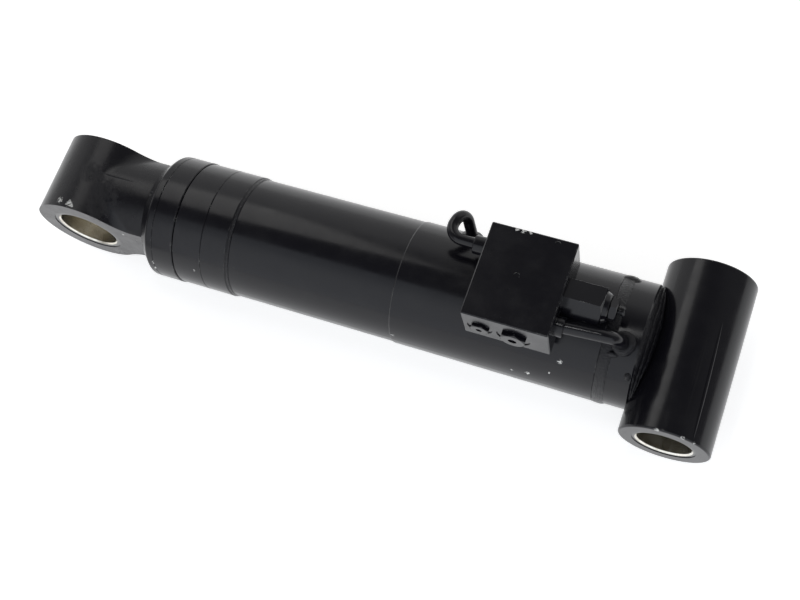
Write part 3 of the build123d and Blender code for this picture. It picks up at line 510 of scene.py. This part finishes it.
def block_weld(side, material):
    """The fillet weld along the barrel under one side of the valve block."""
    low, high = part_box("block_welds")
    length = high.x - low.x
    block_low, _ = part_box("valve_block")
    sections, steps = 180, 14
    wave, drift = smooth_noise(41 + side), smooth_noise(51 + side)
    points = []
    for section in range(sections):
        share = section / (sections - 1)
        run = length * share
        x = low.x + run
        taper = min(1.0, 8 * share, 8 * (1 - share)) ** 0.5
        leg = (1.0 + 0.06 * drift(run / (9 * MM))) * taper
        top = Vector((x, side * (15.0 + 4.5 * leg) * MM, block_low.z + 0.3 * MM))
        foot_angle = math.asin(min(0.99, 24.5 * MM * leg / BARREL_REAR_R))
        foot = Vector((x, side * math.sin(foot_angle) * BARREL_REAR_R, math.cos(foot_angle) * BARREL_REAR_R))
        outward = Vector((0, side * 0.8, 0.6))
        for step in range(steps + 1):
            across = 2 * step / steps - 1
            height = 1.1 * MM * taper * bead_height(run, across, 2.6 * MM, wave)
            points.append(top.lerp(foot, step / steps) + outward * height)
        points.append(Vector((x, side * 10.25 * MM, foot.z - 1 * MM)))
        points.append(Vector((x, side * 8.2 * MM, block_low.z + 1.5 * MM)))
    faces = tube_faces(sections, steps + 3, ring=False)
    name = "block_weld_left" if side > 0 else "block_weld_right"
    return mesh_object(name, points, faces, material, "barrel")


def weld_collar(name, pipe_end, sizes, seed, material):
    """The lumpy weld round a pipe where it enters the barrel. sizes are its inner and outer radius
    and its height in mm."""
    bend, inside = pipe_end
    axis = (inside - bend).normalized()
    foot = inside - axis * PIPE_END_BACK
    pipe_r, foot_r, height = (size * MM for size in sizes)
    side = axis.cross(X_AXIS).normalized()
    ahead = side.cross(axis).normalized()
    turns, steps = 120, 22
    wave, lump = smooth_noise(seed), smooth_noise(seed + 1)
    points = []
    for turn in range(turns):
        angle = 2 * math.pi * turn / turns
        spoke = ahead * math.cos(angle) + side * math.sin(angle)
        swell = 1 + 0.05 * lump(3 * math.sin(angle)) + 0.04 * lump(2 + 2 * math.cos(angle))
        edge = foot + spoke * foot_r * swell
        edge = edge + axis * cylinder_depth(edge, axis, BARREL_REAR_R)
        wall = foot + spoke * (pipe_r - 0.3 * MM)
        wall = wall + axis * (cylinder_depth(wall, axis, BARREL_REAR_R) - height)
        for step in range(steps + 1):
            share = step / steps
            bead = 2 * (share * 2 % 1.0) - 1 if step < steps else 1.0
            out = (spoke * 0.7 - axis * 0.7) * (1.7 * MM * math.sin(math.pi * share))
            out = out + (spoke * 0.7 - axis * 0.7) * (
                0.45 * MM * bead_height(angle * foot_r, bead, 2.2 * MM, wave))
            points.append(wall.lerp(edge, share) + out)
        points.append(edge + axis * 2 * MM - spoke * 1 * MM)
        points.append(wall + axis * (height + 2 * MM) - spoke * 0.6 * MM)
    faces = tube_faces(turns, steps + 3, ring=True)
    return mesh_object(name, points, faces, material, "barrel")


def lump(name, centre, outward, sizes, seed, material):
    """A flat blob of weld or spatter on a surface: a low dome with an uneven rim."""
    across = outward.cross(X_AXIS).normalized()
    length, width, height = (size * MM for size in sizes)
    rings, spokes = 14, 48
    wave = smooth_noise(seed)
    points = []
    for ring in range(rings + 1):
        share = ring / rings
        for spoke in range(spokes):
            angle = 2 * math.pi * spoke / spokes
            swell = 1 + 0.10 * wave(2 * math.sin(angle)) + 0.06 * wave(3 * math.cos(angle))
            rise = height * (math.cos(share * math.pi / 2) ** 0.8 - 0.25)
            rise += 0.06 * height * wave(share * 9 + 2 * math.sin(angle))
            points.append(centre + (X_AXIS * length * math.cos(angle) + across * width * math.sin(angle))
                          * share * swell + outward * rise)
    faces = [(r * spokes + i, r * spokes + (i + 1) % spokes, (r + 1) * spokes + (i + 1) % spokes,
              (r + 1) * spokes + i) for r in range(1, rings) for i in range(spokes)]
    faces.append(tuple(range(spokes, 2 * spokes))[::-1])
    faces.append(tuple(range(rings * spokes, (rings + 1) * spokes)))
    return mesh_object(name, points, faces, material, "barrel")


def on_cylinder(x, angle_deg, radius):
    """A point on a cylinder about the X axis, at an angle from +Z towards +Y, and its outward direction."""
    angle = math.radians(angle_deg)
    outward = Vector((0, math.sin(angle), math.cos(angle)))
    return X_AXIS * x + outward * radius, outward


def ridge(name, path, outwards, width, height, material, body="barrel"):
    """A low rounded ridge along a path on a surface, fading out at both ends."""
    steps = 10
    points = []
    count = len(path)
    for i, (centre, outward) in enumerate(zip(path, outwards)):
        ahead = (path[min(i + 1, count - 1)] - path[max(i - 1, 0)]).normalized()
        across = ahead.cross(outward).normalized()
        share = i / (count - 1)
        fade = max(0.02, math.sin(math.pi * share) ** 0.5)
        for step in range(steps + 1):
            place = 2 * step / steps - 1
            rise = height * fade * (1 - place * place) - 0.02 * MM
            points.append(centre + across * width / 2 * place * fade + outward * rise)
        points.append(centre - outward * 0.3 * MM)
    return mesh_object(name, points, tube_faces(count, steps + 2, ring=False), material, body)


# Each run's start and end along Y in mm, and its turn from the top at both in degrees.
RUN_POINTS = 60
RUN_WIDTH = 2.5 * MM
RUN_HEIGHT = 0.36 * MM
RUN_LIFT = 0.12 * MM     # clears the flat facets of the CAD tube
PAINT_RUNS = [
    (-9.0, 52.0, 15.2, 16.0),
    (-23.0, 64.0, 28.3, 34.2),
]


def paint_runs(material):
    """Two runs in the paint along the cross tube's rear, each a soft ridge that thins out at both ends."""
    for index, (start, end, spin_start, spin_end) in enumerate(PAINT_RUNS):
        path = []
        outwards = []
        for i in range(RUN_POINTS):
            share = i / (RUN_POINTS - 1)
            spin = math.radians(spin_start + (spin_end - spin_start) * share)
            outward = Vector((-math.sin(spin), 0, math.cos(spin)))
            path.append(outward * (CROSS_TUBE_R + RUN_LIFT) + Y_AXIS * (start + (end - start) * share) * MM)
            outwards.append(outward)
        ridge(f"paint_run_{index + 1}", path, outwards, RUN_WIDTH, RUN_HEIGHT, material)


# ---- turned and hexagonal pieces ---------------------------------------------------------------

def along_x(profile, sides, name, material, body, centre=(0.0, 0.0)):
    """A closed piece about an axis along X. profile gives (x, radius(angle)) pairs from the bore's
    rear, over the outside, and back through the bore."""
    points = []
    for i in range(sides):
        angle = 2 * math.pi * i / sides
        for x, radius in profile:
            r = radius(angle) if callable(radius) else radius
            points.append((x, centre[0] + r * math.sin(angle), centre[1] + r * math.cos(angle)))
    return mesh_object(name, points, tube_faces(sides, len(profile), ring=True), material, body, 30)


def hexagon(across_flats, turn_deg):
    """The radius of a hexagon at an angle from +Z towards +Y, its corner turned that far."""
    def radius(angle):
        part = (angle - math.radians(turn_deg)) % (math.pi / 3) - math.pi / 6
        return across_flats / 2 / math.cos(part)
    return radius


def lock_nut(material):
    """A hexagonal lock nut whose corners are chamfered at both faces, with a turned washer face."""
    low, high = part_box("cartridge_lock_nut")
    flats, bore = 15.0 * MM, 4.0 * MM
    outline = hexagon(flats, 10.0)
    corner = flats / math.sqrt(3)
    face_r = 0.47 * flats
    slope = math.tan(math.radians(30))
    profile = [(low.x + 0.6 * MM, bore), (low.x, bore + 0.6 * MM)]
    cut = (corner - face_r) * slope

    def limited(limit):
        return lambda angle: min(outline(angle), limit)

    steps = 8
    for step in range(steps + 1):
        profile.append((low.x + cut * step / steps, limited(face_r + (corner - face_r) * step / steps)))
    for step in range(steps + 1):
        back = 1 - step / steps
        profile.append((high.x - cut * back, limited(face_r + (corner - face_r) * back)))
    profile += [(high.x, bore + 0.6 * MM), (high.x - 0.6 * MM, bore)]
    piece = along_x(profile, 180, "lock_nut", material, "barrel", (CARTRIDGE_Y, CARTRIDGE_Z))
    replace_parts(piece, "cartridge_lock_nut")


def adjuster(material):
    """The adjusting screw: a threaded shank with a hexagon socket, and its flange inside."""
    low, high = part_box("adjuster_screw")
    crest, depth, pitch = 3.92 * MM, 0.62 * MM, 1.25 * MM
    socket = hexagon(4.0 * MM, 0.0)
    bottom = low.x + 4.0 * MM

    def thread(x):
        def radius(angle):
            turn = ((x - low.x) / pitch - angle / (2 * math.pi)) % 1.0
            flank = min(1.0, max(0.0, 2.6 * abs(2 * turn - 1) - 0.7))
            fade = min(1.0, (x - low.x) / (0.9 * MM))
            start = crest - 0.75 * MM * (1 - fade)
            return start - depth * fade * flank
        return radius

    profile = [(bottom, 0.02 * MM), (bottom, socket), (low.x + 0.25 * MM, socket)]
    profile += [(low.x, lambda angle: socket(angle) + 0.25 * MM)]
    steps = 190
    shank = 20.0 * MM
    profile += [(low.x + shank * step / steps, thread(low.x + shank * step / steps))
                for step in range(steps + 1)]
    flange_x = low.x + 22.0 * MM
    flange_r, groove_r, wall = 5.2 * MM, 3.4 * MM, 1.8 * MM
    profile += [(flange_x, crest - depth), (flange_x, flange_r), (flange_x + wall, flange_r),
                (flange_x + wall, groove_r), (high.x - wall, groove_r), (high.x - wall, flange_r),
                (high.x, flange_r), (high.x, 0.02 * MM)]
    centre = (CARTRIDGE_Y, CARTRIDGE_Z)
    piece = along_x(profile, 120, "adjusting_screw", material, "adjuster", centre)
    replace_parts(piece, "adjuster_screw")


DIE_LINE_POINTS = 40
DIE_LINE_BACK_X = 0.4775
DIE_LINE_LENGTH = 0.0325
DIE_LINE_Y = -0.0045
DIE_LINE_WIDTH = 1.8 * MM
DIE_LINE_HEIGHT = 0.45 * MM


def flash_line(material):
    """The line that the forging dies left from the eye's back to the neck."""
    eye = frame["nodes"]["rod_eye"]
    path = []
    outwards = []
    for i in range(DIE_LINE_POINTS):
        x = DIE_LINE_BACK_X - DIE_LINE_LENGTH * i / (DIE_LINE_POINTS - 1)
        hit, place, normal, _ = eye.ray_cast(Vector((x, DIE_LINE_Y, 0.08)), -Z_AXIS)
        if hit:
            path.append(place)
            outwards.append(normal)
    ridge("die_line", path, outwards, DIE_LINE_WIDTH, DIE_LINE_HEIGHT, material, body="rod")


# ---- stage ------------------------------------------------------------------------------------

def plain_shader(name, colour, glow=0.0):
    shader = Shader(name)
    cloud = shader.noise(1.5, detail=3)
    shader.set("Base Color", shader.mix(cloud, colour, tuple(0.97 * c for c in colour)))
    shader.set("Roughness", shader.spread(cloud, 0.3, 0.7, 0.75, 0.85))
    shader.surface.inputs["Emission Color"].default_value = (1, 1, 1, 1)
    shader.surface.inputs["Emission Strength"].default_value = glow
    return shader.material


def floor():
    corners = [(-1, -1), (1, -1), (1, 1), (-1, 1)]
    mesh = bpy.data.meshes.new("floor")
    mesh.from_pydata([(x * FLOOR_HALF, y * FLOOR_HALF, FLOOR_Z) for x, y in corners], [], [(0, 1, 2, 3)])
    mesh.materials.append(plain_shader("floor_paper", (0.80, 0.80, 0.80), FLOOR_GLOW))
    plane = bpy.data.objects.new("floor", mesh)
    bpy.context.scene.collection.objects.link(plane)
    plane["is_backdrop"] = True


def panel(name, corner, along, up, radiance, colour):
    """A soft box: a rectangular area light from one corner along two edges, as bright as radiance."""
    edge_a, edge_b = Vector(along), Vector(up)
    light = bpy.data.lights.new(name, "AREA")
    light.shape = "RECTANGLE"
    light.size = edge_a.length
    light.size_y = edge_b.length
    light.energy = math.pi * edge_a.length * edge_b.length * radiance
    light.color = colour
    lamp = bpy.data.objects.new(name, light)
    across, high = edge_a.normalized(), edge_b.normalized()
    centre = Vector(corner) + edge_a / 2 + edge_b / 2
    back = across.cross(high)
    if back.dot(centre - OBJECT_MIDDLE) < 0:
        high, back = -high, -back
    turn = Matrix((across, high, back)).transposed()
    lamp.matrix_world = Matrix.Translation(centre) @ turn.to_4x4()
    lamp.visible_camera = False
    bpy.context.scene.collection.objects.link(lamp)


def room():
    """The dim studio round the soft boxes: dark overhead, paler towards the horizon."""
    world = bpy.data.worlds.new("studio")
    world.use_nodes = True
    bpy.context.scene.world = world
    tree = world.node_tree
    shade = tree.nodes["Background"]

    def maths(operation, a, b):
        node = tree.nodes.new("ShaderNodeMath")
        node.operation = operation
        for socket, value in zip(node.inputs, (a, b)):
            if isinstance(value, bpy.types.NodeSocket):
                tree.links.new(value, socket)
            else:
                socket.default_value = value
        return node.outputs[0]

    def spread(value, low, high, to_low, to_high):
        node = tree.nodes.new("ShaderNodeMapRange")
        node.interpolation_type = "SMOOTHSTEP"
        tree.links.new(value, node.inputs[0])
        for socket, number in zip(node.inputs[1:5], (low, high, to_low, to_high)):
            socket.default_value = number
        return node.outputs[0]

    split = tree.nodes.new("ShaderNodeSeparateXYZ")
    tree.links.new(tree.nodes.new("ShaderNodeTexCoord").outputs["Generated"], split.inputs[0])
    x, y, z = split.outputs
    far_side = maths("SUBTRACT", maths("MULTIPLY", x, 0.35), y)
    horizon = maths("ADD", spread(far_side, 0.15, 0.4, 0.25, 0.87), spread(y, 0.45, 0.6, 0.0, 0.3))
    high = spread(z, 0.55, 0.97, 0.0, 1.0)
    low_part = maths("MULTIPLY", horizon, maths("SUBTRACT", 1.0, high))
    level = maths("ADD", low_part, maths("MULTIPLY", high, ZENITH_LEVEL))
    tree.links.new(level, shade.inputs["Strength"])
    shade.inputs["Color"].default_value = (1, 1, 1, 1)


def camera():
    data = bpy.data.cameras.new("camera")
    data.lens = CAMERA_LENS
    data.sensor_width = 36.0
    eye = bpy.data.objects.new("camera", data)
    eye.location = CAMERA_PLACE
    eye.rotation_euler = [math.radians(turn) for turn in CAMERA_TURN_DEG]
    bpy.context.scene.collection.objects.link(eye)
    bpy.context.scene.camera = eye


def studio():
    camera()
    floor()
    room()
    for box in SOFT_BOXES:
        panel(*box)
    bpy.context.scene.view_settings.view_transform = "Standard"


# ---- the whole ---------------------------------------------------------------------------------

def dress(frame, materials):
    """Gives each CAD node listed in NODE_MATERIALS its material."""
    for key, names in NODE_MATERIALS.items():
        for name in names:
            mesh = frame["nodes"][name].data
            mesh.materials.clear()
            mesh.materials.append(materials[key])


def corners():
    return [list(corner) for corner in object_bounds()]


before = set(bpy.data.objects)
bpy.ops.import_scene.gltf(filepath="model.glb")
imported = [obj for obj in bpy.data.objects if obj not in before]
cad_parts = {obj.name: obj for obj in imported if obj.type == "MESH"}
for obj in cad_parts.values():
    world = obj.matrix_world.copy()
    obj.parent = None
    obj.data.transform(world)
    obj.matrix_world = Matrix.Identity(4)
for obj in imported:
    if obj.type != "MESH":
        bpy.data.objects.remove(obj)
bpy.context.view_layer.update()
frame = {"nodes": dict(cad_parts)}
studio()
materials = make_materials()
dress(frame, materials)

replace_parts(ring_weld("base_weld_bead", 49.9 * MM, 58.7 * MM, (46.0 * MM, 47.7 * MM), 0.75 * MM, 0.04,
                      materials["weld"]), "base_weld")
ring_weld("head_weld_bead", 347.9 * MM, 351.5 * MM, (46.6 * MM, 47.2 * MM), 0.9 * MM, 0.10, materials["weld"])
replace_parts(saddle_weld(1, materials["weld"]), "saddle_weld")
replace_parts(saddle_weld(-1, materials["weld"]), "saddle_weld")
for side in (1, -1):
    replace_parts(block_weld(side, materials["weld"]), "block_welds")
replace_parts(weld_collar("base_pipe_weld", BASE_PIPE_END, (4.75, 8.4, 4.6), 61, materials["weld"]),
            "base_pipe_boss")
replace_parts(weld_collar("rod_pipe_weld", ROD_PIPE_END, (4.25, 7.4, 3.8), 71, materials["weld"]),
            "rod_pipe_boss")
for name, x, angle_deg, sizes in WELD_LUMPS:
    place, outward = on_cylinder(x * MM, angle_deg, BARREL_REAR_R)
    lump(name, place, outward, sizes, int(x), materials["weld"])
lock_nut(materials["fitting"])
adjuster(materials["fitting"])
paint_runs(materials["pipe"])
flash_line(materials["forged"])
